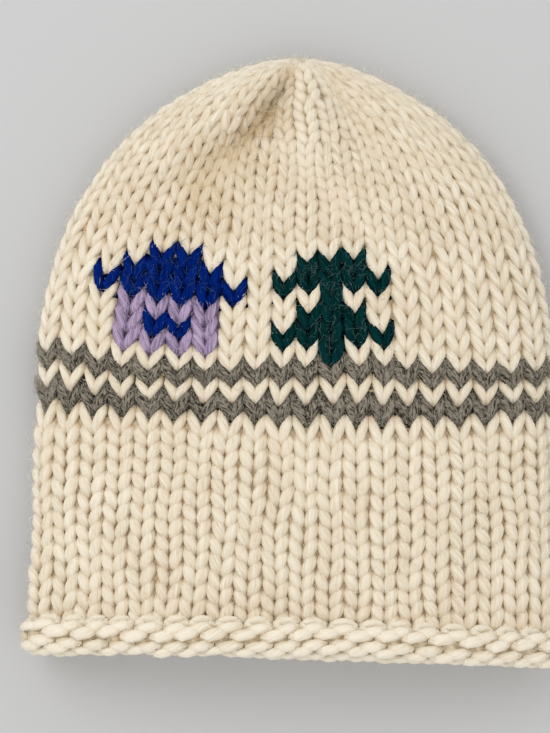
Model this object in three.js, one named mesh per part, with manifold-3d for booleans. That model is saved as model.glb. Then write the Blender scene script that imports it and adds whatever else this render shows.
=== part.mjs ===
// A hand-knitted beanie lying on its back: a hollow knitted wall with a rolled hem,
// two grey rounds with a cream one between, and a house and a tree knitted into the front.
// Millimetres, +Z up. The crown points along +Y and the front faces up.
import * as THREE from "three";
import { mergeVertices } from "three/addons/utils/BufferGeometryUtils.js";
import Module from "manifold-3d";

const wasm = await Module();
wasm.setup();

// Whole hat
const LENGTH = 240; // from the hem to the gather, as it lies
const WALL = 7; // thickness of the knitted fabric
const GAP = 0.35; // clearance between two pieces
const HEM_HALF_WIDTH = 106.4; // outside, at the hem
const CROWN_HALF_WIDTH = 103.8; // outside, where the crown starts to narrow
const CROWN_START = 115; // distance from the hem where the crown starts to narrow
const CROWN_PINCH = 0.2; // how much narrower than an ellipse the crown is at its tip
const PINCH_REACH = 8; // the higher, the nearer to the tip the pinch stays

// Hem roll
const ROLL_RADIUS = 8.5;
const ROLL_HALF_WIDTH = 108; // outside, across both side folds
const ROLL_SIDES = 8;
const ROLL_STATION = { crest: 36, fold: 19.5, back: 8, bow: -3.5, skew: -1.6 };

// Stitches: each one is a V, so every border between two yarns is a zigzag
const STITCHES = 40; // in a round
const FIRST_COLUMN = 0.35; // from the middle of the front to the first column, in stitches
const ZIGZAG = 4.4; // rise from the point of a V to its tips
const POINTS = 2 * STITCHES; // round a section: the point and the tip of each V
const TRAIL_STEPS = 180; // steps in which a section's length is measured

// Distances from the hem to the points of the Vs that start each round
const BODY_START = 9;
const LOWER_GREY_START = 92.6;
const CREAM_ROUND_START = 101;
const UPPER_GREY_START = 106.2;
const CROWN_WALL_START = 115.4;
const BODY_ROWS = 5; // rows of faces along the wall
const CROWN_ROWS = 10;

// The chart of the front, top round first: r roof, l wall, w window, t tree, a dot is a cream stitch
const CHART_ROUND = 6.7; // height of a round in the chart
const CHART_COLUMN = 10.4; // width of a stitch in the chart
const CHART_FIRST_COLUMN = -8;
const CHART = [
  "..rr........",
  ".rrrr...ttt.",
  "rrrrrr.ttttt",
  ".llll....t..",
  ".lwwl...ttt.",
  ".llll..ttttt",
  ".........t..",
];
const CELL_BOTTOM = 15; // the cutting cells stand between the back wall and the front wall
const CELL_HEIGHT = 40;

// The middle of the wall at stations along the hat: heights of the front's crest, the side folds and
// the back, how far both side folds run ahead of the middle, and the right one ahead of the left
const STATIONS = [
  { along: 0, crest: 31, fold: 18.5, back: 10.5, bow: -3.5, skew: -1.6 },
  { along: 20, crest: 31.8, fold: 17.5, back: 9.5, bow: -2.8, skew: -1.6 },
  { along: 60, crest: 34.5, fold: 13, back: 3.5, bow: 0.5, skew: -1.4 },
  { along: 105, crest: 35.5, fold: 12, back: 3.5, bow: 4, skew: -1.2 },
  { along: 160, crest: 35.5, fold: 12, back: 3.5, bow: 9, skew: -0.4 },
  { along: 200, crest: 34, fold: 12.5, back: 3.5, bow: 12, skew: 0 },
  { along: 240, crest: 32, fold: 14, back: 3.5, bow: 12, skew: 0 },
];

// Roundings: across the arched front, the bedded back, and both of them towards the gather
const ARCH = { reach: 2.2, lift: 0.6 };
const BED = { reach: 10, lift: 0.5 };
const OUTLINE = { reach: 2, lift: 0.5 };
const CROWN_ARCH = { reach: 3, lift: 0.6 };
const CROWN_BED = { reach: 6, lift: 0.5 };

// Tucks that the gather pulls into the front of the crown and the ridges that stand up beside them: how
// far from the middle one lies, how deep it is and how wide
const LEFT_TUCK = [
  { along: 186, x: -28, depth: 0, width: 18 },
  { along: 202, x: -18, depth: 8, width: 14 },
  { along: 212, x: -13, depth: 12, width: 10 },
  { along: 222, x: -8, depth: 12, width: 6.5 },
  { along: 230, x: -4.5, depth: 10, width: 4.5 },
  { along: 238, x: -1, depth: 0, width: 3 },
];
const RIGHT_TUCK = [
  { along: 186, x: 38, depth: 0, width: 14 },
  { along: 204, x: 27, depth: 4, width: 11 },
  { along: 214, x: 20, depth: 6, width: 8 },
  { along: 228, x: 14, depth: 6, width: 6 },
  { along: 238, x: 6, depth: 0, width: 4 },
];
const LEFT_RIDGE = [
  { along: 186, x: -56, depth: 0, width: 16 },
  { along: 204, x: -44, depth: -3, width: 13 },
  { along: 216, x: -33, depth: -4, width: 10 },
  { along: 228, x: -20, depth: -3, width: 7 },
  { along: 238, x: -6, depth: 0, width: 4 },
];
const MIDDLE_RIDGE = [
  { along: 190, x: 5, depth: 0, width: 8 },
  { along: 204, x: 4, depth: -1.5, width: 6 },
  { along: 216, x: 4, depth: -2.5, width: 5 },
  { along: 230, x: 3.5, depth: -2, width: 4 },
  { along: 238, x: 1, depth: 0, width: 3 },
];
const TUCK_CLEAR = 10; // height above the side folds at which a tuck has its full depth

// Yarn colours
const CREAM = 0xe9dcc3;
const GREY = 0x6f6a62;
const BLUE = 0x10298c;
const LILAC = 0xb094c4;
const GREEN = 0x0c3b3d;
const YARN_ROUGHNESS = 0.95;

const clamp01 = (t) => Math.min(Math.max(t, 0), 1);
const ease = (t) => THREE.MathUtils.smoothstep(t, 0, 1);
const rounding = (shape, t) => (1 - Math.abs(t) ** shape.reach) ** shape.lift;

// The columns of a table between two of its rows
function rowAt(table, along) {
  const next = table.findIndex((row) => row.along >= along);
  const upper = next < 0 ? table.length - 1 : Math.max(next, 1);
  const [a, b] = [table[upper - 1], table[upper]];
  const t = ease((along - a.along) / (b.along - a.along));
  const mixed = {};
  for (const column of Object.keys(a)) {
    mixed[column] = THREE.MathUtils.lerp(a[column], b[column], t);
  }
  return mixed;
}

// How far up the crown a place is: 0 where it starts to narrow, 1 at the gather
function crownShare(along, offset) {
  const tip = LENGTH - WALL / 2 + offset;
  return clamp01((along - CROWN_START) / (tip - CROWN_START));
}

// Half the hat's width as seen from above
function halfWidth(along, offset) {
  const t = crownShare(along, offset);
  const down = clamp01((CROWN_START - along) / CROWN_START);
  const body = THREE.MathUtils.lerp(CROWN_HALF_WIDTH, HEM_HALF_WIDTH, down) - WALL / 2 + offset;
  return body * rounding(OUTLINE, t) * (1 - CROWN_PINCH * t ** PINCH_REACH);
}

// A section of the surface that lies `offset` outside the middle of the wall
function wallSection(along, offset) {
  const station = rowAt(STATIONS, along);
  const t = crownShare(along, offset);
  const bow = station.bow * (1 - t);
  return {
    along,
    bow,
    skew: station.skew,
    half: halfWidth(along + bow, offset),
    fold: station.fold,
    rise: (station.crest + offset - station.fold) * rounding(CROWN_ARCH, t),
    drop: (station.fold - station.back + offset) * rounding(CROWN_BED, t),
  };
}

// The same for the hem's roll, measured from the middle of the roll
function rollSection(along, offset) {
  const { crest, fold, back, bow, skew } = ROLL_STATION;
  const half = ROLL_HALF_WIDTH - ROLL_RADIUS + offset;
  const [rise, drop] = [crest + offset - fold, fold - back + offset];
  return { along, bow, skew, half, fold, rise, drop };
}

// Depth of the tucks at a place on the front
function tuckDepth(x, along) {
  let depth = 0;
  for (const tuck of [LEFT_TUCK, RIGHT_TUCK, LEFT_RIDGE, MIDDLE_RIDGE]) {
    const at = rowAt(tuck, along);
    depth += at.depth * Math.exp(-(((x - at.x) / at.width) ** 2));
  }
  return depth;
}

// A point of a section: a quarter turn is the middle of the front, a half turn the right fold
function sectionPoint(section, angle) {
  const across = -Math.cos(angle);
  const front = Math.sin(angle) > 0;
  const along = section.along + section.bow * across ** 2 + section.skew * across;
  const x = section.half * across;
  let z = section.fold;
  if (front) {
    const lift = section.rise * rounding(ARCH, across);
    z += lift - tuckDepth(x, along) * ease(lift / TUCK_CLEAR);
  } else {
    z -= section.drop * rounding(BED, across);
  }
  return new THREE.Vector3(x, along, Math.max(z, 0));
}

// The point a given share of the way round a section, from the middle of the front over the right fold
function pointRound(section, share) {
  const trail = [];
  const reach = [0];
  for (let step = 0; step <= TRAIL_STEPS; step++) {
    trail.push(sectionPoint(section, Math.PI * (0.5 + (2 * step) / TRAIL_STEPS)));
    if (step) {
      const [a, b] = trail.slice(-2);
      reach.push(reach[step - 1] + Math.hypot(b.x - a.x, b.z - a.z));
    }
  }
  const want = THREE.MathUtils.euclideanModulo(share, 1) * reach[TRAIL_STEPS];
  const step = Math.max(reach.findIndex((r) => r >= want), 1);
  const t = (want - reach[step - 1]) / (reach[step] - reach[step - 1]);
  return trail[step - 1].clone().lerp(trail[step], t);
}

const shareOf = (column) => (column + FIRST_COLUMN) / STITCHES;

// A ring of points, one for the point and one for the tip of each V, each at its own distance along
function ring(alongOf, offset, sectionOf = wallSection) {
  const points = [];
  for (let j = 0; j < POINTS; j++) {
    points.push(pointRound(sectionOf(alongOf(j), offset), shareOf(j / 2)));
  }
  return points;
}

// Joins each ring to the next and the last to the first; a ring of one point closes the surface there.
// The last strip is split along its other diagonal, so that it matches the rim of the piece below it.
function skin(rings) {
  const faces = [];
  let first = 0;
  rings.forEach((lower, row) => {
    const last = row + 1 === rings.length;
    const upper = rings[last ? 0 : row + 1];
    const firstUpper = last ? 0 : first + lower.length;
    for (let j = 0; j < POINTS; j++) {
      const a = first + (j % lower.length);
      const b = first + ((j + 1) % lower.length);
      const c = firstUpper + ((j + 1) % upper.length);
      const d = firstUpper + (j % upper.length);
      if (a !== b) faces.push(a, b, last ? d : c);
      if (c !== d) faces.push(last ? b : a, c, d);
    }
    first += lower.length;
  });
  return new THREE.BufferGeometry().setFromPoints(rings.flat()).setIndex(faces);
}

// Borders of the rounds, as distances along the hat for each point of a ring
const zigzag = (level) => (j) => level + (j % 2) * ZIGZAG;
const level = (along) => () => along;

// A tube of wall between two borders, up the outside and back down the inside
function wallTube(lower, upper, rows) {
  const rings = [];
  const between = (row) => (j) => THREE.MathUtils.lerp(lower(j), upper(j), row / rows);
  for (let row = 0; row <= rows; row++) rings.push(ring(between(row), WALL / 2));
  for (let row = rows; row >= 0; row--) rings.push(ring(between(row), -WALL / 2));
  return skin(rings);
}

// The crown's wall from its border to the gather, where it closes outside and inside
function crownWall(lower) {
  const sheet = (offset) => {
    const tip = LENGTH - WALL / 2 + offset;
    const rings = [];
    for (let row = 0; row < CROWN_ROWS; row++) {
      const share = Math.sin((Math.PI / 2) * (row / CROWN_ROWS));
      rings.push(ring((j) => THREE.MathUtils.lerp(lower(j), tip, share), offset));
    }
    return [...rings, [sectionPoint(wallSection(tip, offset), Math.PI / 2)]];
  };
  return skin([...sheet(WALL / 2), ...sheet(-WALL / 2).reverse()]);
}

// The hem's roll: a round section carried round the mouth, flattened where the hat lies on it
function hemRoll(grow) {
  const radius = ROLL_RADIUS + grow;
  const rings = [];
  for (let side = 0; side < ROLL_SIDES; side++) {
    const turn = (2 * Math.PI * side) / ROLL_SIDES;
    const along = ROLL_RADIUS + radius * Math.sin(turn);
    rings.push(ring(level(along), radius * Math.cos(turn), rollSection));
  }
  return skin(rings);
}

// The V-shaped cell of one stitch as seen from above, standing through the front wall.
// A stitch of the first round runs down past the crown's border, which ends it.
function stitchCell(column, round, grow) {
  const start = CROWN_WALL_START + (round - 1) * CHART_ROUND;
  const top = start + CHART_ROUND + grow;
  const bottom = start - (round === 1 ? ZIGZAG : grow);
  const side = 0.5 + grow / CHART_COLUMN;
  const corners = [
    { aside: 0, along: bottom },
    { aside: side, along: bottom + ZIGZAG },
    { aside: side, along: top + ZIGZAG },
    { aside: 0, along: top },
    { aside: -side, along: top + ZIGZAG },
    { aside: -side, along: bottom + ZIGZAG },
  ];
  const outline = corners.map(({ aside, along }) => {
    const p = pointRound(wallSection(along, WALL / 2), shareOf(column + aside));
    return new THREE.Vector2(p.x, p.y);
  });
  const shape = new THREE.Shape(outline);
  const prism = new THREE.ExtrudeGeometry(shape, { depth: CELL_HEIGHT, bevelEnabled: false });
  return prism.translate(0, 0, CELL_BOTTOM);
}

function solidOf(geometry) {
  const bare = new THREE.BufferGeometry();
  bare.setAttribute("position", geometry.attributes.position);
  bare.setIndex(geometry.index);
  const merged = mergeVertices(bare);
  const vertProperties = new Float32Array(merged.attributes.position.array);
  const triVerts = new Uint32Array(merged.index.array);
  return new wasm.Manifold(new wasm.Mesh({ numProp: 3, vertProperties, triVerts }));
}

function geometryOf(solid) {
  const { vertProperties, triVerts } = solid.getMesh();
  const geometry = new THREE.BufferGeometry();
  geometry.setAttribute("position", new THREE.BufferAttribute(vertProperties, 3));
  return geometry.setIndex(new THREE.BufferAttribute(triVerts, 1));
}

// All the cells of the chart that carry one of the letters, as one solid
function chartCells(letters, grow) {
  const cells = [];
  CHART.forEach((row, fromTop) => {
    [...row].forEach((letter, i) => {
      if (!letters.includes(letter)) return;
      cells.push(solidOf(stitchCell(CHART_FIRST_COLUMN + i, CHART.length - fromTop, grow)));
    });
  });
  return cells.reduce((all, cell) => all.add(cell));
}

const hat = new THREE.Group();
hat.name = "beanie";

function addPiece(name, geometry, color) {
  const material = new THREE.MeshStandardMaterial({ color, roughness: YARN_ROUGHNESS, metalness: 0 });
  const mesh = new THREE.Mesh(geometry, material);
  mesh.name = name;
  hat.add(mesh);
}

// Hem and body: the body's wall runs down into the roll
addPiece("rolled_hem", hemRoll(0), CREAM);
const bodyTube = solidOf(wallTube(level(BODY_START), zigzag(LOWER_GREY_START), BODY_ROWS));
addPiece("body", geometryOf(bodyTube.subtract(solidOf(hemRoll(GAP)))), CREAM);

// Stripes: three single rounds
const roundTube = (start, end) => wallTube(zigzag(start + GAP), zigzag(end), 1);
addPiece("lower_grey_round", roundTube(LOWER_GREY_START, CREAM_ROUND_START), GREY);
addPiece("cream_round", roundTube(CREAM_ROUND_START, UPPER_GREY_START), CREAM);
addPiece("upper_grey_round", roundTube(UPPER_GREY_START, CROWN_WALL_START), GREY);

// Crown with the house and the tree let into its front
const crown = solidOf(crownWall(zigzag(CROWN_WALL_START + GAP)));
const houseWall = crown.intersect(chartCells("l", 0));
addPiece("crown", geometryOf(crown.subtract(chartCells("rlwt", GAP))), CREAM);
addPiece("house_roof", geometryOf(crown.intersect(chartCells("r", 0))), BLUE);
addPiece("house_window", geometryOf(crown.intersect(chartCells("w", 0))), BLUE);
addPiece("house_wall", geometryOf(houseWall.subtract(chartCells("rw", GAP))), LILAC);
addPiece("tree", geometryOf(crown.intersect(chartCells("t", 0))), GREEN);

// Origin at the middle of the underside
const box = new THREE.Box3().setFromObject(hat);
const middle = box.getCenter(new THREE.Vector3());
for (const { geometry } of hat.children) {
  geometry.translate(-middle.x, -middle.y, -box.min.z);
  geometry.computeVertexNormals();
}

export default hat;
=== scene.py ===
import math

import bpy
import mathutils
import numpy as np
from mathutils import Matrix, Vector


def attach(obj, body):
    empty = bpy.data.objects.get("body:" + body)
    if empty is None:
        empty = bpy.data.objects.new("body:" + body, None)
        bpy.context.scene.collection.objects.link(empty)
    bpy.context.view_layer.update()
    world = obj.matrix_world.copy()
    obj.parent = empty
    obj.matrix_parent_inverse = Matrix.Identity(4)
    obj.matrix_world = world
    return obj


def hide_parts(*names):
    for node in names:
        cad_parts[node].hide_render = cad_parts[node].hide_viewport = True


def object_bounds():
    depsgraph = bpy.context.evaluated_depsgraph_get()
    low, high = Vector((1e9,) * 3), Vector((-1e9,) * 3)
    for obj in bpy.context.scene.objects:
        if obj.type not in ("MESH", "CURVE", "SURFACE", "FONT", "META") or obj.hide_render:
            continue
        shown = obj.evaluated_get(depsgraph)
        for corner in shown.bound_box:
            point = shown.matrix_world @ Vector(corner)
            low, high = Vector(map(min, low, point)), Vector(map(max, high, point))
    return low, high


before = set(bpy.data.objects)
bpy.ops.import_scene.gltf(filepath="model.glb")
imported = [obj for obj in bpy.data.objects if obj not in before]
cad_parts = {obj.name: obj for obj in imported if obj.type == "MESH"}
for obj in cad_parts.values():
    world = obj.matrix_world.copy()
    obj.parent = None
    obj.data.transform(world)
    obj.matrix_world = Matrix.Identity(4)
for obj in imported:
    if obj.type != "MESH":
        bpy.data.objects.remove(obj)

cad_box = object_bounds()
bpy.ops.object.select_all(action="DESELECT")

# Rolled hem
# The hat is cast on here in chunky cream wool and knitted upwards in the round. The first rounds of plain
# knitting curl outwards by themselves, so the roll shows the bumps that are the inside of the fabric.

# The knitted wall as it lies, in millimetres like every size of the knitting: its length, where its tip is
# drawn shut, its half widths at the hem and under the crown, and how the crown is pinched near the tip. The
# table gives, at distances along the hat, the heights of the front's crest, the side folds and the back in
# the middle of the wall, how far both side folds run ahead of the middle, and the right one ahead of the
# left.
MM = 0.001
LENGTH = 240
TIP = 236.5
HEM_HALF_WIDTH = 102.9
CROWN_HALF_WIDTH = 100.3
CROWN_START = 115
CROWN_PINCH = 0.2
PINCH_REACH = 8
WALL = {
    "along": (0, 20, 60, 105, 160, 200, 240),
    "crest": (31, 31.8, 34.5, 35.5, 35.5, 34, 32),
    "fold": (18.5, 17.5, 13, 12, 12, 12.5, 14),
    "back": (10.5, 9.5, 3.5, 3.5, 3.5, 3.5, 3.5),
    "bow": (-3.5, -2.8, 0.5, 4, 9, 12, 12),
    "skew": (-1.6, -1.6, -1.4, -1.2, -0.4, 0, 0),
}
# How the wall rounds off, as the two powers of a curve: its outline towards the tip, then the lift of the
# front and the drop of the back, each towards the tip and towards the side folds
OUTLINE_TO_TIP = (2, 0.5)
FRONT_TO_TIP = (3, 0.6)
FRONT_TO_FOLDS = (2.2, 0.6)
BACK_TO_TIP = (6, 0.5)
BACK_TO_FOLDS = (10, 0.5)
# Tucks that the gather pulls into the front of the crown and the ridges that stand up beside them: how far
# from the middle one lies, how deep it is and how wide. Painted shade darkens the wool down in the left tuck
# and a painted highlight makes it paler on the ridge in the middle. Tucks fade out where the front is lifted
# less than their clear height.
LEFT_TUCK = {
    "along": (158, 184, 199, 207, 215, 225, 232, 238),
    "x": (-52, -38, -27, -18.5, -12.5, -7.5, -4, -1),
    "depth": (0, 3, 6, 9, 10.5, 9.5, 7.5, 0),
    "width": (32, 22, 14, 11, 8.5, 5.5, 4, 3),
}
RIGHT_TUCK = {
    "along": (186, 204, 214, 228, 238),
    "x": (38, 27, 20, 14, 6),
    "depth": (0, 4, 6, 6, 0),
    "width": (14, 11, 8, 6, 4),
}
LEFT_RIDGE = {
    "along": (186, 204, 216, 228, 238),
    "x": (-56, -44, -33, -20, -6),
    "depth": (0, -3, -4, -3, 0),
    "width": (16, 13, 10, 7, 4),
}
MIDDLE_RIDGE = {
    "along": (190, 204, 216, 230, 238),
    "x": (5, 4, 4, 3.5, 1),
    "depth": (0, -1.5, -2.5, -2, 0),
    "width": (8, 6, 5, 4, 3),
}
TUCKS = (LEFT_TUCK, RIGHT_TUCK, LEFT_RIDGE, MIDDLE_RIDGE)
# The tucks painted on the wool: painted shade down the left tuck, a painted highlight on the middle ridge
SHADED_TUCKS = (LEFT_TUCK, MIDDLE_RIDGE)
TUCK_CLEAR = 10
# The middle of the frame from the middle of the hem
MIDDLE_ASIDE = 0.23
MIDDLE = np.array((MIDDLE_ASIDE, LENGTH - cad_box[1][1] / MM, 0))

# A round of knitting: its stitches, and how far its first column lies from the middle of the front, in
# stitches. The wall is worked out on a grid of rows along the hat and equal shares of the way round.
STITCHES = 40
FIRST_COLUMN = 0.35
GRID_ROWS = 560
GRID_SHARES = 720


def smooth(t):
    """A share from 0 to 1, eased at both ends."""
    t = np.clip(t, 0, 1)
    return t * t * (3 - 2 * t)


def rounding(t, reach, lift):
    """A curve that falls from 1 in the middle to 0 at the ends, by two powers."""
    return np.clip(1 - np.abs(t) ** reach, 0, None) ** lift


def unit(vectors):
    return vectors / np.maximum(np.linalg.norm(vectors, axis=-1, keepdims=True), 1e-9)


def row_at(table, along):
    """The columns of a table at distances along the hat, eased from row to row."""
    ranks = np.arange(len(table["along"]))
    rank = np.interp(along, table["along"], ranks)
    rank = np.floor(rank) + smooth(rank - np.floor(rank))
    return {name: np.interp(rank, ranks, column) for name, column in table.items()}


def tuck_depth(x, along, tucks):
    """How deep tucks lie at places on the front, below zero on a ridge."""
    depth = 0
    for tuck in tucks:
        at = row_at(tuck, along)
        depth = depth + at["depth"] * np.exp(-(((x - at["x"]) / at["width"]) ** 2))
    return depth


def wall_sections():
    """Rows of places round the middle of the untucked wall, each x, y, z and the lift of its front."""
    along = np.linspace(0, TIP, GRID_ROWS)[:, None]
    turn = np.pi * (0.5 + 2 * np.linspace(0, 1, 2 * GRID_SHARES + 1))[None]
    at = row_at(WALL, along)
    up_crown = np.clip((along - CROWN_START) / (TIP - CROWN_START), 0, 1)
    bow = at["bow"] * (1 - up_crown)
    bowed = along + bow
    narrowing = np.clip((bowed - CROWN_START) / (TIP - CROWN_START), 0, 1)
    half = np.interp(bowed, (0, CROWN_START), (HEM_HALF_WIDTH, CROWN_HALF_WIDTH))
    half = half * rounding(narrowing, *OUTLINE_TO_TIP) * (1 - CROWN_PINCH * narrowing**PINCH_REACH)
    across = -np.cos(turn)
    x = half * across
    y = along + bow * across**2 + at["skew"] * across
    lift = at["crest"] - at["fold"]
    lift = lift * rounding(up_crown, *FRONT_TO_TIP) * rounding(across, *FRONT_TO_FOLDS)
    drop = at["fold"] - at["back"]
    drop = drop * rounding(up_crown, *BACK_TO_TIP) * rounding(across, *BACK_TO_FOLDS)
    front = np.sin(turn) > 0
    z = at["fold"] + np.where(front, lift, -drop)
    steps = np.hypot(np.diff(x, axis=1), np.diff(z, axis=1))
    shares = np.linspace(0, 1, GRID_SHARES + 1)
    sections = np.empty((GRID_ROWS, GRID_SHARES + 1, 4))
    for row in range(GRID_ROWS):
        reach = np.append(0, np.cumsum(steps[row]))
        for axis, values in enumerate((x, y, z, np.where(front, lift, 0))):
            sections[row, :, axis] = np.interp(shares * reach[-1], reach, values[row])
    return sections


# Levels are lengths of knitting from the hem. Every column has as many rounds as the next, so in the
# crown the rounds are stretched up the long sides and crowded up the short middle.
CHART_START = 114.2
CHART_ROUND = 7.1
CHART_ROUNDS = 7
CROWN_ROUND = 6.3
CROWN_ROUNDS = 16
CHART_TOP = CHART_START + CHART_ROUNDS * CHART_ROUND
TOP_LEVEL = CHART_TOP + CROWN_ROUNDS * CROWN_ROUND


def knitted_grid(sections):
    """The wall in rows of knitting: places, the way out, the way up and the width of a stitch."""
    along = np.linspace(0, TIP, GRID_ROWS)
    levels = np.linspace(0, TOP_LEVEL, GRID_ROWS)
    over = np.maximum(levels - CROWN_START, 0)
    climbs = np.linalg.norm(np.diff(sections[..., :3], axis=0), axis=-1)
    place = np.empty_like(sections)
    for share in range(GRID_SHARES + 1):
        reach = np.append(0, np.cumsum(climbs[:, share]))
        start = np.interp(CROWN_START, along, reach)
        spare = reach[-1] - start - over[-1]
        climbed = start + over + spare * (over / over[-1]) ** 2
        at = np.where(levels < CROWN_START, levels, np.interp(climbed, reach, along))
        for axis in range(4):
            place[:, share, axis] = np.interp(at, along, sections[:, share, axis])
    depth = tuck_depth(place[..., 0], place[..., 1], TUCKS)
    place[..., 2] -= depth * smooth(place[..., 3] / TUCK_CLEAR)
    place = place[..., :3] - MIDDLE
    ring = place[:, :-1]
    round_way = (np.roll(ring, -1, 1) - np.roll(ring, 1, 1)) * (GRID_SHARES / 2)
    round_way = np.concatenate((round_way, round_way[:, :1]), axis=1)
    up_way = np.gradient(place, axis=0)
    out = unit(np.cross(round_way, up_way))
    out[-1] = out[-2]
    width = np.linalg.norm(round_way, axis=-1, keepdims=True) / STITCHES
    return np.concatenate((place, out, unit(up_way), width), axis=-1)


wall = knitted_grid(wall_sections())


def on_wall(level, share):
    """Place, way out, way up and stitch width at places on the wall."""
    row = np.clip(level / TOP_LEVEL, 0, 1) * (GRID_ROWS - 1)
    turn = np.mod(share, 1) * GRID_SHARES
    low = np.minimum(row.astype(int), GRID_ROWS - 2)
    left = np.minimum(turn.astype(int), GRID_SHARES - 1)
    up = (row - low)[..., None]
    right = (turn - left)[..., None]
    lower = wall[low, left] * (1 - right) + wall[low, left + 1] * right
    upper = wall[low + 1, left] * (1 - right) + wall[low + 1, left + 1] * right
    found = lower * (1 - up) + upper * up
    return found[..., 0:3], unit(found[..., 3:6]), unit(found[..., 6:9]), found[..., 9]


# The curl of the hem: it is full on the front, pressed on the back and pinched at the side folds
CURL_START = 10.2
CURL_RADIUS = 5.3
CURL_FRONT = 1
CURL_BACK = 0.72
CURL_FOLD = 0.3
FOLD_PINCH = 3
PINCH_TOP = 20


def fabric(column, level, depth):
    """Places at a depth inside the middle of the fabric, with the way out and the width of a stitch."""
    share = (column + FIRST_COLUMN) / STITCHES
    place, out, up, width = on_wall(np.maximum(level, CURL_START), share)
    turn = (np.maximum(CURL_START - level, 0) / CURL_RADIUS)[..., None]
    facing = out[..., 2:3]
    full = CURL_FOLD + (np.where(facing > 0, CURL_FRONT, CURL_BACK) - CURL_FOLD) * facing**2
    pinch = smooth((PINCH_TOP - np.maximum(level, CURL_START)) / (PINCH_TOP - CURL_START))[..., None]
    place = place - FOLD_PINCH * pinch * (1 - facing**2) * out
    place = place + CURL_RADIUS * (full * (1 - np.cos(turn)) * out - np.sin(turn) * up)
    out = unit(np.cos(turn) * out + full * np.sin(turn) * up)
    return place - depth[..., None] * out, out, width


# One stitch of yarn, from one foot over the head to the next foot, with the two legs of the V between:
# how far its legs lean and are drawn together, how far it reaches up and down, how square its head and
# its feet are and how much they slant, how far it sits above the middle of its round, and the yarn's
# radius in the legs and the head
LOOP_STEPS = 16
YARN_SIDES = 8
HEM_LOOP = {
    "lean": 0.2, "narrow": 0, "reach": 4.8, "square": 0.14, "slant": -0.6,
    "rise": 2.5, "leg": 2.2, "head": 2.4,
}
# How the yarn lies in the fabric: how far its legs stand out and its head tilts, how flat it is pressed,
# the stitch in which it is full, how it thins in narrower ones and between what limits, how the back is
# pressed, and how far crowded stitches bunch outwards
LEG_LIFT = 1.5
HEAD_TILT = 0.3
FLATTENED = 0.85
FULL_WIDTH = 10.5
THINNING = 0.42
WIDTH_LIMITS = (0.1, 1.05)
BACK_FACING = -0.5
BACK_PRESS = 0.85
BUNCHED = 2.6
# How the wool's painted shade is laid on: how far from the middle of the fabric yarn is painted darker as if
# in shade, the depth of tuck painted as dark, and how much painted light makes the side folds paler
PAINTED_SHADE_REACH = 2.8
TUCK_SHADE = 11
FOLD_PAINTED_LIGHT = 1.5
# How far single stitches stray: sideways in stitches, up and in depth, and in their radius
UNEVEN = {"column": 0.03, "level": 0.35, "depth": 0.25, "radius": 0.06}

# Slow waves in the fabric, so that its columns and rounds don't run dead straight: waves in a round, the
# length of one up the hat, where one crests, and how far it carries a stitch aside, in stitches, and up
WAVES = (
    {"round": 2, "length": 400, "column": -4.0, "level": 142, "aside": 0.24, "up": 0},
    {"round": 3, "length": 220, "column": 1.6, "level": 152, "aside": 0, "up": 4.2},
    {"round": 7, "length": 67, "column": 2.0, "level": 40, "aside": 0.06, "up": 0.4},
    {"round": 11, "length": 43, "column": 0.7, "level": 10, "aside": 0.06, "up": 0.3},
)

CHANCE_SEED = 40
chance = np.random.default_rng(CHANCE_SEED)


def wander(column, level):
    """Places in the fabric, carried sideways and up by its slow waves."""
    aside, up = 0, 0
    for wave in WAVES:
        across = 2 * np.pi * wave["round"] * (column - wave["column"]) / STITCHES
        along = 2 * np.pi * (level - wave["level"]) / wave["length"]
        aside = aside + wave["aside"] * np.cos(across) * np.cos(along)
        up = up + wave["up"] * np.cos(across) * np.cos(along)
    return column + aside, level + up


def sideways(out):
    """How far ways out point to the side, from 0 on the front and the back to 1 at the side folds."""
    return (1 - np.abs(out[:, 2])) ** 2


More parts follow.
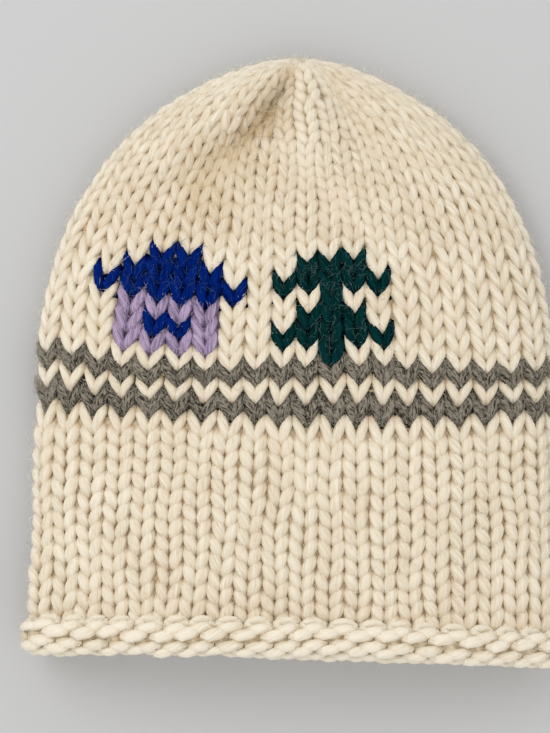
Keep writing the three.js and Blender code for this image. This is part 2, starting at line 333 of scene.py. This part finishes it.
def knit(columns, low, high, loop, painted_shade_offset=0, closed=False, span=1):
    """The yarn of neighbouring stitches in a round, each as wide as a span of columns.

    The round runs from the level where its Vs start to the level where the next round's do, and its painted
    shade offset adds painted shade to its wool, or painted light below zero.
    """
    turn = np.tile(np.linspace(-np.pi, np.pi, LOOP_STEPS, endpoint=False), len(columns))
    stitch = np.repeat(np.arange(len(columns)), LOOP_STEPS)
    if not closed:
        turn = np.append(turn, np.pi)
        stitch = np.append(stitch, len(columns) - 1)
    slack = np.cos(turn / 2) ** 2
    stray = {name: chance.normal(0, size, len(columns))[stitch] * slack for name, size in UNEVEN.items()}
    sway = loop["lean"] * np.sin(2 * turn) - loop["narrow"] * np.sin(turn)
    column = columns[stitch] + span * (turn / (2 * np.pi) + sway + stray["column"])
    climb = loop["reach"] * (np.cos(turn) - loop["square"] * np.cos(3 * turn))
    climb = climb + loop["slant"] * np.sin(2 * turn)
    level = (low + high) / 2 + loop["rise"] + climb + stray["level"]
    column, level = wander(column, np.minimum(level, TOP_LEVEL))
    depth = LEG_LIFT * np.cos(2 * turn) + HEAD_TILT * np.cos(turn) + stray["depth"]
    _, out, width = fabric(column, level, depth)
    scale = np.clip(span * width / FULL_WIDTH, *WIDTH_LIMITS) ** THINNING
    depth = depth * np.where(out[:, 2] < BACK_FACING, BACK_PRESS, 1)
    path, out, _ = fabric(column, level, depth * scale - BUNCHED * (1 - scale))
    swell = (loop["leg"] + loop["head"]) / 2 - (loop["leg"] - loop["head"]) / 2 * np.cos(2 * turn)
    swell = swell * (1 + stray["radius"])
    x, along, _ = (path + MIDDLE).T
    # Painted shade in the left tuck, a painted highlight on the middle ridge, painted light on the side
    # folds
    painted_tuck_shade = tuck_depth(x, along, SHADED_TUCKS) / TUCK_SHADE * (out[:, 2] > 0)
    painted_shade_offset = painted_shade_offset + painted_tuck_shade - FOLD_PAINTED_LIGHT * sideways(out)
    yarn = strand(path, out, depth, swell, scale, painted_shade_offset, closed)
    return {**yarn, "web": web(columns, low, high, closed, span / 2)}


# Between its front and its back the fabric is closed by matted fibres of the same wool, a thin web that
# shows in the gaps of the loops and stops short of the tip. The web carries painted shade, and painted light
# makes it paler at the side folds.
WEB_FRONT = -0.3
WEB_BACK = 0.3
WEB_SHORT = 3
WEB_TOP = TOP_LEVEL - WEB_SHORT
WEB_SHADE = 0.6
WEB_STEP = 0.5


def web(columns, low, high, closed, overlap):
    """The matted fibres of neighbouring stitches in a round, as a flat band."""
    end = columns[-1] + overlap + (0 if closed else WEB_STEP / 2)
    edges = np.arange(columns[0] - overlap, end, WEB_STEP)
    corners, painted_shade = [], []
    for level, depth in ((low, WEB_FRONT), (low, WEB_BACK), (high, WEB_BACK), (high, WEB_FRONT)):
        column, height = wander(edges, np.full(len(edges), level))
        place, out, _ = fabric(column, np.minimum(height, WEB_TOP), np.full(len(edges), depth))
        corners.append(place)
        # Painted shade on the web, less of it at the side folds, where painted light makes it paler
        painted_shade.append(WEB_SHADE - FOLD_PAINTED_LIGHT * sideways(out))
    rings = np.stack(corners, axis=1)
    rings[..., 2] = np.maximum(rings[..., 2], 0)
    painted_shade = np.stack(painted_shade, axis=1)
    return {"path": rings.mean(1), "rings": rings, "painted_shade": painted_shade, "closed": closed}


def strand(path, out, depth, swell, scale, painted_shade_offset, closed):
    """A length of yarn as rings of points, with the directions that its hairs need."""
    if closed:
        way = np.roll(path, -1, 0) - np.roll(path, 1, 0)
    else:
        way = np.gradient(path, axis=0)
    way = unit(way)
    up = unit(out - (out * way).sum(1, keepdims=True) * way)
    side = np.cross(way, up)
    angle = 2 * np.pi * np.arange(YARN_SIDES) / YARN_SIDES
    ring = FLATTENED * np.cos(angle)[:, None] * up[:, None] + np.sin(angle)[:, None] * side[:, None]
    ring = swell[:, None, None] * ring
    deep = depth[:, None] - (ring * out[:, None]).sum(-1)
    # Painted shade: yarn lying deep in the fabric, near its middle, is painted darker, as if in shade
    painted_shade = np.clip(1 - np.abs(deep) / PAINTED_SHADE_REACH, 0, 1) + painted_shade_offset[:, None]
    rings = path[:, None] + ring * scale[:, None, None]
    rings[..., 2] = np.maximum(rings[..., 2], 0)
    yarn = {"path": path, "way": way, "up": up, "side": side, "radius": swell * scale}
    return {**yarn, "rings": rings, "painted_shade": painted_shade, "closed": closed}


def yarn_faces(yarn):
    """The faces of one strand or web, and the length along it and the share round it at each corner."""
    count, sides = yarn["rings"].shape[:2]
    steps = np.linalg.norm(np.diff(yarn["path"], axis=0, append=yarn["path"][:1]), axis=1)
    length = np.append(0, np.cumsum(steps))
    spans = count if yarn["closed"] else count - 1
    ring, side = np.meshgrid(np.arange(spans), np.arange(sides), indexing="ij")
    after = (ring + 1) % count
    beside = (side + 1) % sides
    quads = np.stack(
        (
            ring * sides + side,
            ring * sides + beside,
            after * sides + beside,
            after * sides + side,
        ),
        axis=-1,
    ).reshape(-1, 4)
    lengths = np.stack((length[ring], length[ring], length[ring + 1], length[ring + 1]), axis=-1)
    shares = np.stack((side, side + 1, side + 1, side), axis=-1) / sides
    corners = np.stack((lengths, shares), axis=-1).reshape(-1, 4, 2)
    if yarn["closed"]:
        return quads, corners
    end = np.array([(0, corner + 3, corner + 2, corner + 1) for corner in range(0, sides - 2, 2)])
    caps = np.concatenate((end, (count - 1) * sides + end[:, ::-1]))
    return np.concatenate((quads, caps)), np.concatenate((corners, np.zeros((len(caps), 4, 2))))


# Stray hairs of the wool: thin spindles that lift off the yarn and curl along it, with the most at the
# side folds, where the fabric is bent and rubbed. They root just inside the yarn, within an angle of its
# outer side, stay clear of the floor, and arch back to the yarn wholly or in part. The fuzz of a wool is how
# many hairs a stitch has, in how many steps they bend, how long they are, how far they lift off the yarn and
# how far they lean away from its run.
HAIR_SIDES = 3
HAIR_RADII = (0.05, 0.09)
HAIR_ROOT = 0.92
HAIR_ANGLE = 1.9
HAIR_CLEAR = 0.2
HAIR_ARCH = (0.2, 1)
HAIR_BEND = 1.6
HAIR_CURL = 0.9
FOLD_FUZZ = 14
CREAM_FUZZ = {"count": 33, "steps": 1, "lengths": (2, 5), "lift": 1, "lean": 0.7}


def hairs(strands, fuzz):
    """Spindles spread over the outer side of the yarn: their points, ring faces and tip faces."""
    needs = ("path", "way", "up", "side", "radius")
    joined = {name: np.concatenate([yarn[name] for yarn in strands]) for name in needs}
    count = len(joined["path"]) // LOOP_STEPS * fuzz["count"]
    # Thin yarn has its points closer together, so a point's hairs go by the wool that it stands for
    weight = joined["radius"] ** 3 * (1 + FOLD_FUZZ * sideways(joined["up"]))
    root = chance.choice(len(weight), count, p=weight / weight.sum())
    way, up, side = (joined[name][root] for name in ("way", "up", "side"))
    angle = chance.uniform(-HAIR_ANGLE, HAIR_ANGLE, (count, 1))
    out = np.cos(angle) * up + np.sin(angle) * side
    along = way * chance.choice((-1, 1), (count, 1))
    aside = np.cross(out, along)
    lean = chance.normal(0, fuzz["lean"], (count, 1))
    along = np.cos(lean) * along + np.sin(lean) * aside
    aside = np.cross(out, along)
    length = chance.uniform(*fuzz["lengths"], (count, 1, 1))
    lift = chance.exponential(fuzz["lift"], (count, 1, 1))
    bend = chance.normal(0, HAIR_BEND, (count, 1, 1))
    curl = chance.normal(0, HAIR_CURL, (count, 1, 1))
    closes = chance.uniform(*HAIR_ARCH, (count, 1, 1))
    share = np.linspace(0, 1, fuzz["steps"] + 2)[None, :, None]
    start = joined["path"][root] + FLATTENED * joined["radius"][root][:, None] * out * HAIR_ROOT
    arch = np.sin(np.pi * share * closes)
    spine = start[:, None] + along[:, None] * length * share + out[:, None] * lift * arch
    spine = spine + aside[:, None] * (bend * share**2 + curl * np.sin(2 * np.pi * share))
    spine[..., 2] = np.maximum(spine[..., 2], HAIR_CLEAR)
    radius = chance.uniform(*HAIR_RADII, (count, 1, 1, 1))
    turn = (2 * np.pi * np.arange(HAIR_SIDES) / HAIR_SIDES)[None, None, :, None]
    ring = np.cos(turn) * out[:, None, None] + np.sin(turn) * aside[:, None, None]
    rings = spine[:, 1:-1, None] + radius * ring
    points = np.concatenate((spine[:, :1], rings.reshape(count, -1, 3), spine[:, -1:]), axis=1)
    size = points.shape[1]
    step = np.arange(HAIR_SIDES)
    after = (step + 1) % HAIR_SIDES
    quads = []
    for row in range(fuzz["steps"] - 1):
        low = 1 + row * HAIR_SIDES
        high = low + HAIR_SIDES
        quads.append(np.stack((low + after, low + step, high + step, high + after), axis=1))
    last = 1 + (fuzz["steps"] - 1) * HAIR_SIDES
    tips = np.concatenate(
        (
            np.stack((1 + step, 1 + after, np.zeros_like(step)), axis=1),
            np.stack((last + after, last + step, np.full_like(step, size - 1)), axis=1),
        )
    )
    first = (np.arange(count) * size)[:, None, None]
    quads = (first + np.array(quads, dtype=int).reshape(1, -1, 4)).reshape(-1, 4)
    tips = (first + tips[None]).reshape(-1, 3)
    return points.reshape(-1, 3), quads, tips


def add_piece(name, node, strands, fuzz, material):
    """One mesh of yarn and hairs that stands for a solid of the frame."""
    points, quads, corners, painted_shade = [], [], [], []
    first = 0
    for yarn in [*strands, *(yarn["web"] for yarn in strands)]:
        faces, places = yarn_faces(yarn)
        points.append(yarn["rings"].reshape(-1, 3))
        quads.append(faces + first)
        corners.append(places)
        painted_shade.append(yarn["painted_shade"].ravel())
        first += len(points[-1])
    hair_points, hair_quads, hair_tips = hairs(strands, fuzz)
    points.append(hair_points)
    painted_shade.append(np.zeros(len(hair_points)))
    quads.append(hair_quads + first)
    corners.append(np.zeros((len(hair_quads), 4, 2)))
    tips = hair_tips + first
    points = np.concatenate(points) * MM
    quads = np.concatenate(quads)
    mesh = bpy.data.meshes.new(name)
    mesh.vertices.add(len(points))
    mesh.vertices.foreach_set("co", points.ravel())
    mesh.loops.add(quads.size + tips.size)
    loops = np.concatenate((quads.ravel(), tips.ravel()))
    mesh.loops.foreach_set("vertex_index", loops.astype(np.int32))
    mesh.polygons.add(len(quads) + len(tips))
    starts = np.concatenate((np.arange(len(quads)) * 4, quads.size + np.arange(len(tips)) * 3))
    mesh.polygons.foreach_set("loop_start", starts.astype(np.int32))
    mesh.update(calc_edges=True)
    mesh.shade_smooth()
    layer = mesh.uv_layers.new(name="yarn")
    places = np.concatenate((np.concatenate(corners).reshape(-1, 2), np.zeros((tips.size, 2))))
    layer.uv.foreach_set("vector", places.ravel().astype(np.float32))
    hair = mesh.attributes.new("hair", "FLOAT", "POINT")
    hair.data.foreach_set("value", (np.arange(len(points)) >= first).astype(np.float32))
    # Each point's painted shade, which the wool's material reads
    shade = mesh.attributes.new("painted_shade", "FLOAT", "POINT")
    shade.data.foreach_set("value", np.concatenate(painted_shade).astype(np.float32))
    mesh.materials.append(material)
    piece = bpy.data.objects.new(name, mesh)
    bpy.context.collection.objects.link(piece)
    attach(piece, "root")
    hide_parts(node)


class Value:
    """A number in a material. Arithmetic on it adds Math nodes, and node() adds any other node."""

    def __init__(self, socket):
        self.socket = socket
        self.tree = socket.id_data

    @staticmethod
    def node(tree, kind, settings, inputs):
        made = tree.nodes.new(kind)
        for name, setting in settings.items():
            setattr(made, name, setting)
        for name, value in inputs.items():
            if isinstance(value, Value):
                tree.links.new(value.socket, made.inputs[name])
            else:
                made.inputs[name].default_value = value
        return made

    def math(self, operation, *values):
        made = self.node(self.tree, "ShaderNodeMath", {"operation": operation}, dict(enumerate(values)))
        return Value(made.outputs[0])

    def __add__(self, other):
        return self.math("ADD", self, other)

    def __sub__(self, other):
        return self.math("SUBTRACT", self, other)

    def __rsub__(self, other):
        return self.math("SUBTRACT", other, self)

    def __mul__(self, other):
        return self.math("MULTIPLY", self, other)

    __radd__ = __add__
    __rmul__ = __mul__


# Wool: soft spun fibres that twist round the yarn, with painted shade towards the inside of the fabric. Its
# plies and its fibres are noise drawn out along the yarn, both stand out in relief, and a slow noise mottles
# it.
TWIST_LENGTH = 34
PLIES = {"streaks": 1.6, "stretch": 0.06}
FIBRES = {"streaks": 4.2, "stretch": 0.18}
STREAK_DETAIL = 3.0
STREAK_ROUGHNESS = 0.6
MOTTLE_SCALE = 55
MOTTLE_DETAIL = 2.0
MOTTLE_CONTRAST = 0.4
NOISE_MIDDLE = 0.5
FIBRE_DEPTH = 0.8 * MM
FIBRE_RELIEF = 0.4
RELIEF_STRENGTH = 0.9
WOOL_ROUGHNESS = 0.95
WOOL_GLOSS = 0.02
SHEEN_ROUGHNESS = 0.5


def twisted(tree, streaks, stretch):
    """Noise drawn out along the yarn and wound round it."""
    yarn = Value.node(tree, "ShaderNodeUVMap", {"uv_map": "yarn"}, {})
    split = Value.node(tree, "ShaderNodeSeparateXYZ", {}, {0: Value(yarn.outputs[0])})
    length = Value(split.outputs[0])
    turn = (Value(split.outputs[1]) + length * (1 / TWIST_LENGTH)) * (2 * math.pi)
    axes = {
        0: turn.math("COSINE", turn) * streaks,
        1: turn.math("SINE", turn) * streaks,
        2: length * stretch,
    }
    wound = Value.node(tree, "ShaderNodeCombineXYZ", {}, axes)
    inputs = {
        "Vector": Value(wound.outputs[0]),
        "Scale": 1.0,
        "Detail": STREAK_DETAIL,
        "Roughness": STREAK_ROUGHNESS,
    }
    return Value(Value.node(tree, "ShaderNodeTexNoise", {}, inputs).outputs["Fac"])


def mixed(tree, factor, low, high):
    """A colour between two, through the colour sockets of a Mix node."""
    settings = {"data_type": "RGBA", "clamp_factor": True}
    made = Value.node(tree, "ShaderNodeMix", settings, {0: factor, 6: low, 7: high})
    return Value(made.outputs[2])


def marked(tree, name):
    """A number that the mesh carries at its points."""
    made = Value.node(tree, "ShaderNodeAttribute", {"attribute_name": name}, {})
    return Value(made.outputs["Fac"])


def wool(name, shade, light, hair, bright, contrast, fleck, sheen=0, painted_shade_strength=0.45, spun=FIBRES):
    """Yarn of one colour, from its shaded to its lit fibres, with stray hairs of their own colour.

    It is lit by how bright it is, varied by the contrast of its plies and the fleck of its fibres, which are
    spun in their own streaks. Painted shade darkens what lies deep in the fabric towards the shaded colour.
    """
    material = bpy.data.materials.new(name)
    material.use_nodes = True
    tree = material.node_tree
    finish = tree.nodes["Principled BSDF"]
    plies = twisted(tree, **PLIES)
    fibres = twisted(tree, **spun)
    place = Value.node(tree, "ShaderNodeTexCoord", {}, {})
    mottle_inputs = {
        "Vector": Value(place.outputs["Object"]),
        "Scale": MOTTLE_SCALE,
        "Detail": MOTTLE_DETAIL,
    }
    mottle = Value(Value.node(tree, "ShaderNodeTexNoise", {}, mottle_inputs).outputs["Fac"])
    lit = bright + (plies - NOISE_MIDDLE) * contrast + (fibres - NOISE_MIDDLE) * fleck
    # Painted shade darkens the wool where the mesh carries it
    lit = lit + (mottle - NOISE_MIDDLE) * MOTTLE_CONTRAST - marked(tree, "painted_shade") * painted_shade_strength
    colour = mixed(tree, marked(tree, "hair"), mixed(tree, lit, shade, light), hair)
    relief = {
        "Strength": RELIEF_STRENGTH,
        "Distance": FIBRE_DEPTH,
        "Height": plies + fibres * FIBRE_RELIEF,
    }
    bump = Value.node(tree, "ShaderNodeBump", {}, relief)
    tree.links.new(colour.socket, finish.inputs["Base Color"])
    tree.links.new(bump.outputs[0], finish.inputs["Normal"])
    finish.inputs["Roughness"].default_value = WOOL_ROUGHNESS
    finish.inputs["Specular IOR Level"].default_value = WOOL_GLOSS
    finish.inputs["Sheen Weight"].default_value = sheen
    finish.inputs["Sheen Roughness"].default_value = SHEEN_ROUGHNESS
    finish.inputs["Sheen Tint"].default_value = hair
    return material


CREAM = {
    "shade": (0.55, 0.39, 0.19, 1),
    "light": (0.91, 0.825, 0.675, 1),
    "hair": (0.92, 0.86, 0.74, 1),
}
cream_wool = wool("cream_wool", **CREAM, bright=0.82, contrast=0.9, fleck=0.9, sheen=0.5, painted_shade_strength=0.65)

LOWER_GREY_START = 92.6
ROUND_HEIGHT = 6.13
BODY_ROUNDS = 13
HEM_ROUNDS = 5
# Painted light: the hem's wool is painted paler, with a painted shade below zero
HEM_PAINTED_SHADE = -0.35
EVERY_COLUMN = np.arange(STITCHES)

hem_top = LOWER_GREY_START - BODY_ROUNDS * ROUND_HEIGHT
hem_strands = []
for number in range(HEM_ROUNDS):
    high = hem_top - number * ROUND_HEIGHT
    hem_strands.append(knit(EVERY_COLUMN, high - ROUND_HEIGHT, high, HEM_LOOP, HEM_PAINTED_SHADE, closed=True))
add_piece("hem_knitting", "rolled_hem", hem_strands, CREAM_FUZZ, cream_wool)

# Body
# Thirteen plain rounds of the same cream wool above the roll. Each stitch is a loop drawn through the one
# below it, so its two legs show outside as a V and its head and its feet lie behind them. The last round
# has more open loops, like those of the crown's first rounds.

BODY_LOOP = {
    "lean": 0.19, "narrow": 0, "reach": 4.6, "square": 0, "slant": 0,
    "rise": 1.6, "leg": 2.55, "head": 2.6,
}
OPEN_LOOP = {
    "lean": 0.245, "narrow": 0.02, "reach": 6.1, "square": 0.06, "slant": 0,
    "rise": 2, "leg": 2.1, "head": 2.5,
}
body_strands = []
for number in range(BODY_ROUNDS):
    low = hem_top + number * ROUND_HEIGHT
    loop = OPEN_LOOP if number == BODY_ROUNDS - 1 else BODY_LOOP
    body_strands.append(knit(EVERY_COLUMN, low, low + ROUND_HEIGHT, loop, closed=True))
half_body = BODY_ROUNDS // 2
add_piece("lower_body_knitting", "body", body_strands[:half_body], CREAM_FUZZ, cream_wool)
add_piece("upper_body_knitting", "body", body_strands[half_body:], CREAM_FUZZ, cream_wool)

# Stripes
# Two single rounds of a fatter, fuzzier grey wool with one round of the cream wool between them. The yarns
# are changed at the back, so the stripes run right round the hat.

CREAM_ROUND_START = 101
UPPER_GREY_START = 106.2
CROWN_WALL_START = 115.4
GREY_LOOP = {
    "lean": 0.29, "narrow": 0, "reach": 6.2, "square": 0.05, "slant": 0,
    "rise": 3, "leg": 2.5, "head": 2.2,
}
STRIPE_LOOP = {
    "lean": 0.27, "narrow": 0.05, "reach": 6, "square": 0.05, "slant": 0,
    "rise": 3, "leg": 2, "head": 1.8,
}
GREY = {
    "shade": (0.025, 0.021, 0.014, 1),
    "light": (0.30, 0.267, 0.212, 1),
    "hair": (0.48, 0.44, 0.36, 1),
}
GREY_FUZZ = {"count": 110, "steps": 3, "lengths": (1.2, 3.4), "lift": 0.5, "lean": 1.4}
GREY_FIBRES = {"streaks": 3.2, "stretch": 0.6}
grey_wool = wool("grey_wool", **GREY, bright=0.55, contrast=1.6, fleck=4.5, sheen=0.03, spun=GREY_FIBRES)

lower_grey = knit(EVERY_COLUMN, LOWER_GREY_START, CREAM_ROUND_START, GREY_LOOP, closed=True)
add_piece("lower_grey_knitting", "lower_grey_round", [lower_grey], GREY_FUZZ, grey_wool)
cream_between = knit(EVERY_COLUMN, CREAM_ROUND_START, UPPER_GREY_START, STRIPE_LOOP, closed=True)
add_piece("cream_knitting", "cream_round", [cream_between], CREAM_FUZZ, cream_wool)
upper_grey = knit(EVERY_COLUMN, UPPER_GREY_START, CROWN_WALL_START, GREY_LOOP, closed=True)
add_piece("upper_grey_knitting", "upper_grey_round", [upper_grey], GREY_FUZZ, grey_wool)

# House and tree
# Seven rounds in which blue, lilac and dark green wool take over from the cream for some stitches of the
# front. Each run of one colour starts and ends inside the fabric, where the yarns cross.

# One letter for a stitch, from the top round down: roof, lilac wall, window, tree and cream ground
CHART_FIRST_COLUMN = -8
GROUND = "."
CHART = (
    "..rr........",
    ".rrrr...ttt.",
    "rrrrrr.ttttt",
    ".llll....t..",
    ".lwwl...ttt.",
    ".llll..ttttt",
    ".........t..",
)
BLUE = {
    "shade": (0.0003, 0.002, 0.03, 1),
    "light": (0.001, 0.018, 0.18, 1),
    "hair": (0.05, 0.10, 0.30, 1),
}
LILAC = {
    "shade": (0.15, 0.11, 0.18, 1),
    "light": (0.53, 0.40, 0.58, 1),
    "hair": (0.66, 0.56, 0.70, 1),
}
GREEN = {
    "shade": (0.0002, 0.004, 0.004, 1),
    "light": (0.002, 0.032, 0.033, 1),
    "hair": (0.09, 0.17, 0.16, 1),
}
blue_wool = wool("blue_wool", **BLUE, bright=0.85, contrast=1.6, fleck=3, painted_shade_strength=1.7)
lilac_wool = wool("lilac_wool", **LILAC, bright=0.68, contrast=2, fleck=3, sheen=0.05, painted_shade_strength=1.1)
green_wool = wool("green_wool", **GREEN, bright=0.85, contrast=2.4, fleck=3, painted_shade_strength=1.8)
MOTIFS = {
    "r": ("roof_knitting", "house_roof", "blue_wool", blue_wool),
    "w": ("window_knitting", "house_window", "blue_wool", blue_wool),
    "l": ("wall_knitting", "house_wall", "lilac_wool", lilac_wool),
    "t": ("tree_knitting", "tree", "green_wool", green_wool),
}
MOTIF_FUZZ = {"count": 70, "steps": 4, "lengths": (2, 6), "lift": 0.45, "lean": 0.9}
MOTIF_LOOP = {
    "lean": 0.235, "narrow": 0, "reach": 6.2, "square": 0.08, "slant": 0,
    "rise": 2, "leg": 2.25, "head": 2.6,
}
# The cream ground among the motifs gets a little less painted shade, so it is a little paler
GROUND_DIM = -0.04


def runs(row):
    """The stretches of one letter in a round, from the chart's first column right round the hat."""
    letters = row + GROUND * (STITCHES - len(row))
    first = 0
    for column in range(1, STITCHES + 1):
        if column == STITCHES or letters[column] != letters[first]:
            yield letters[first], np.arange(first, column) + CHART_FIRST_COLUMN
            first = column


chart_strands = {letter: [] for letter in (GROUND, *MOTIFS)}
for number, row in enumerate(reversed(CHART)):
    low = CHART_START + number * CHART_ROUND
    for letter, columns in runs(row):
        loop = MOTIF_LOOP if letter in MOTIFS else OPEN_LOOP
        # The motifs get no painted shade offset, the cream ground its own
        painted_shade_offset = 0 if letter in MOTIFS else GROUND_DIM
        chart_strands[letter].append(knit(columns, low, low + CHART_ROUND, loop, painted_shade_offset))
for letter, (name, node, slot, material) in MOTIFS.items():
    add_piece(name, node, chart_strands[letter], MOTIF_FUZZ, material)

# Crown
# Cream wool again: the rest of the seven rounds, then plain rounds up to the tip, with fewer stitches
# where two at a time are knitted together. The yarn is drawn through the last loops and pulled tight, which
# gathers the front into tucks.

chart_ground = chart_strands[GROUND]
add_piece("chart_ground_knitting", "crown", chart_ground, CREAM_FUZZ, cream_wool)
CROWN_LOOP = {
    "lean": 0.2, "narrow": 0, "reach": 5.2, "square": 0.02, "slant": 0,
    "rise": 1.5, "leg": 2.35, "head": 2.8,
}
# Painted shade: the crown's wool is painted darker, a little less so towards the tip
CROWN_PAINTED_SHADE = 0.14
TIP_PAINTED_SHADE = 0.12
FIRST_DECREASE = {"round": 8, "stitches": 30}
SECOND_DECREASE = {"round": 12, "stitches": 20}
crown_strands = []
stitches = STITCHES
for number in range(CROWN_ROUNDS):
    for decrease in (FIRST_DECREASE, SECOND_DECREASE):
        if number == decrease["round"]:
            stitches = decrease["stitches"]
    span = STITCHES / stitches
    columns = span * (np.arange(stitches) + 0.5) - 0.5
    low = CHART_TOP + number * CROWN_ROUND
    # This round's painted shade
    painted_shade_offset = CROWN_PAINTED_SHADE + (TIP_PAINTED_SHADE - CROWN_PAINTED_SHADE) * number / CROWN_ROUNDS
    crown_strands.append(knit(columns, low, low + CROWN_ROUND, CROWN_LOOP, painted_shade_offset, closed=True, span=span))
half_crown = CROWN_ROUNDS // 2
lower_crown = crown_strands[:half_crown]
upper_crown = crown_strands[half_crown:]
add_piece("lower_crown_knitting", "crown", lower_crown, CREAM_FUZZ, cream_wool)
add_piece("upper_crown_knitting", "crown", upper_crown, CREAM_FUZZ, cream_wool)

# Studio
# A plain pale floor under the hat, a wide soft lamp beyond the crown and to the left, and an even glow all
# round. The camera looks straight down on the front.

FLOOR_SIZE = 6
FLOOR_COLOUR = (0.56, 0.56, 0.56, 1)
FLOOR_ROUGHNESS = 0.6
bpy.ops.mesh.primitive_plane_add(size=FLOOR_SIZE, location=(0, 0, 0))
floor = bpy.context.object
floor.name = "floor"
pale_floor = bpy.data.materials.new("pale_floor")
pale_floor.use_nodes = True
floor_finish = pale_floor.node_tree.nodes["Principled BSDF"]
floor_finish.inputs["Base Color"].default_value = FLOOR_COLOUR
floor_finish.inputs["Roughness"].default_value = FLOOR_ROUGHNESS
floor.data.materials.append(pale_floor)

LAMP_PLACE = (-0.7, 0.6, 1.15)
LAMP_SIZE = 0.9
LAMP_POWER = 5
bpy.ops.object.light_add(type="AREA", location=LAMP_PLACE)
lamp = bpy.context.object
lamp.data.size = LAMP_SIZE
lamp.data.energy = LAMP_POWER
lamp.rotation_euler = mathutils.Vector(LAMP_PLACE).to_track_quat("Z", "Y").to_euler()

GLOW_COLOUR = (1, 1, 1, 1)
GLOW_STRENGTH = 0.9
world = bpy.data.worlds.new("studio")
world.use_nodes = True
glow = world.node_tree.nodes["Background"]
glow.inputs["Color"].default_value = GLOW_COLOUR
glow.inputs["Strength"].default_value = GLOW_STRENGTH
bpy.context.scene.world = world
bpy.context.scene.view_settings.view_transform = "Standard"

# The camera's place and roll, and its view: the size of a pixel at the height of the hat's outline, and
# how many of them the picture is high
CAMERA_ASIDE = -0.0084
CAMERA_ALONG = -0.0013
CAMERA_HEIGHT = 1.2
CAMERA_ROLL = math.radians(0.7)
PIXEL = 0.4 * MM
IMAGE_HEIGHT = 733
OUTLINE_HEIGHT = 0.012
camera_place = (CAMERA_ASIDE, CAMERA_ALONG, CAMERA_HEIGHT)
bpy.ops.object.camera_add(location=camera_place, rotation=(0, 0, CAMERA_ROLL))
camera = bpy.context.object
camera.data.sensor_fit = "VERTICAL"
camera.data.angle = 2 * math.atan(PIXEL * IMAGE_HEIGHT / 2 / (CAMERA_HEIGHT - OUTLINE_HEIGHT))
bpy.context.scene.camera = camera
